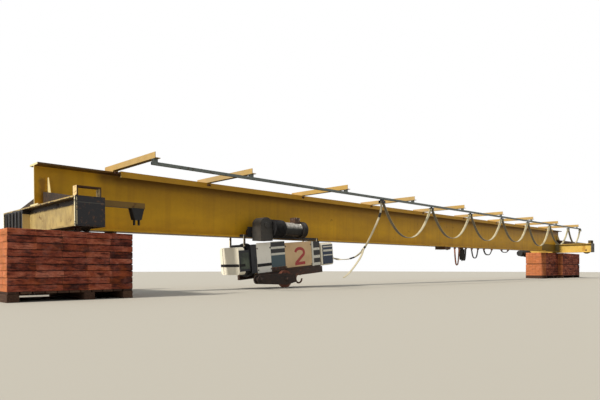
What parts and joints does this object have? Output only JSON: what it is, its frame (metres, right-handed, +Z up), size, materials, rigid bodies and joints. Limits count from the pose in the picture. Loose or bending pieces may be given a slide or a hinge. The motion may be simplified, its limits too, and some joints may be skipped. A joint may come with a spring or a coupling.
{
  "type": "overhead bridge crane",
  "caption": "Yellow single girder overhead bridge crane with an underslung rope hoist and a festoon cable row, set down out of service on packs of bricks.",
  "frame": {"origin": "Middle of the overall length and width, on the ground under the pallets.", "axes": "X runs along the girder from the low left end to the high right end, Y across it from the festoon side to the far side, Z up."},
  "size_m": [20.56, 2.416, 1.7981],
  "materials": {
    "black_sheath": "matte",
    "brick": "matte",
    "cream_paint": "satin",
    "dark_paint": "satin",
    "drum_steel": "satin",
    "flat_cable": "matte",
    "galvanised": "matte",
    "old_wood": "matte",
    "rusty_steel": "rough",
    "silver_paint": "satin",
    "tan_paint": "satin",
    "yellow_paint": "satin"
  },
  "bodies": {
    "crane": {"main_girder": "yellow_paint", "cap_channel": "yellow_paint", "web_gussets": "yellow_paint", "carriage_channels": "yellow_paint", "carriage_end_plates": "dark_paint", "carriage_haunches": "rusty_steel", "carriage_wheels": "rusty_steel", "wheel_boxes": "dark_paint", "travel_drives": "dark_paint", "end_bows": "rusty_steel", "switch_bracket": "yellow_paint", "limit_switch": "dark_paint", "festoon_arms": "yellow_paint", "festoon_rail": "galvanised", "rail_hangers": "galvanised", "cable_end_clamp": "dark_paint", "spare_cables": "black_sheath", "spare_clips": "rusty_steel", "end_stops": "rusty_steel", "brick_packs": "brick", "pallets": "old_wood"},
    "trolley": {"tow_carrier": "dark_paint", "trolley_bogies": "dark_paint", "trolley_wheels": "rusty_steel", "travel_gearbox": "dark_paint", "travel_motor": "silver_paint", "hoist_hangers": "dark_paint", "hoist_left_cover": "cream_paint", "hoist_motor": "dark_paint", "gearbox_flange": "dark_paint", "rope_drum": "drum_steel", "drum_cover": "tan_paint", "hoist_lower_frame": "dark_paint", "hoist_right_cover": "cream_paint", "hook_block": "rusty_steel", "block_sheave": "rusty_steel", "load_hook": "rusty_steel", "rope_falls": "drum_steel", "tow_cable": "flat_cable", "slack_cable": "flat_cable"},
    "carrier_2": {"carrier_2": "dark_paint", "cable_loop_1": "flat_cable"},
    "carrier_3": {"carrier_3": "dark_paint", "cable_loop_2": "flat_cable"},
    "carrier_4": {"carrier_4": "dark_paint", "cable_loop_3": "flat_cable", "cable_loop_4": "flat_cable"},
    "carrier_5": {"carrier_5": "dark_paint", "cable_loop_5": "flat_cable"},
    "carrier_6": {"carrier_6": "dark_paint", "cable_loop_6": "flat_cable"},
    "carrier_7": {"carrier_7": "dark_paint", "cable_loop_7": "flat_cable"}
  },
  "joints": [
    {"name": "trolley_travel", "type": "slide", "parent": "crane", "child": "trolley", "axis": [1, 0, 0.0097], "range_m": [-1.5, 4.2]},
    {"name": "carrier_2_slide", "type": "slide", "parent": "trolley", "child": "carrier_2", "axis": [1, 0, 0.0097], "range_m": [-0.7, 0.25], "deforming": ["cable_loop_1"]},
    {"name": "carrier_3_slide", "type": "slide", "parent": "carrier_2", "child": "carrier_3", "axis": [1, 0, 0.0097], "range_m": [-0.7, 0.25], "deforming": ["cable_loop_2"]},
    {"name": "carrier_4_slide", "type": "slide", "parent": "carrier_3", "child": "carrier_4", "axis": [1, 0, 0.0097], "range_m": [-0.7, 0.25], "deforming": ["cable_loop_3"]},
    {"name": "carrier_7_slide", "type": "slide", "parent": "crane", "child": "carrier_7", "axis": [1, 0, 0.0097], "range_m": [-0.25, 0.7], "deforming": ["cable_loop_7"]},
    {"name": "carrier_6_slide", "type": "slide", "parent": "carrier_7", "child": "carrier_6", "axis": [1, 0, 0.0097], "range_m": [-0.25, 0.7], "deforming": ["cable_loop_6"]},
    {"name": "carrier_5_slide", "type": "slide", "parent": "carrier_6", "child": "carrier_5", "axis": [1, 0, 0.0097], "range_m": [-0.25, 0.7], "deforming": ["cable_loop_5"]}
  ],
  "couplings": [
    {"joint": "carrier_2_slide", "follows": "trolley_travel", "ratio": -0.16667},
    {"joint": "carrier_3_slide", "follows": "trolley_travel", "ratio": -0.16667},
    {"joint": "carrier_4_slide", "follows": "trolley_travel", "ratio": -0.16667},
    {"joint": "carrier_7_slide", "follows": "trolley_travel", "ratio": 0.16667},
    {"joint": "carrier_6_slide", "follows": "trolley_travel", "ratio": 0.16667},
    {"joint": "carrier_5_slide", "follows": "trolley_travel", "ratio": 0.16667}
  ]
}
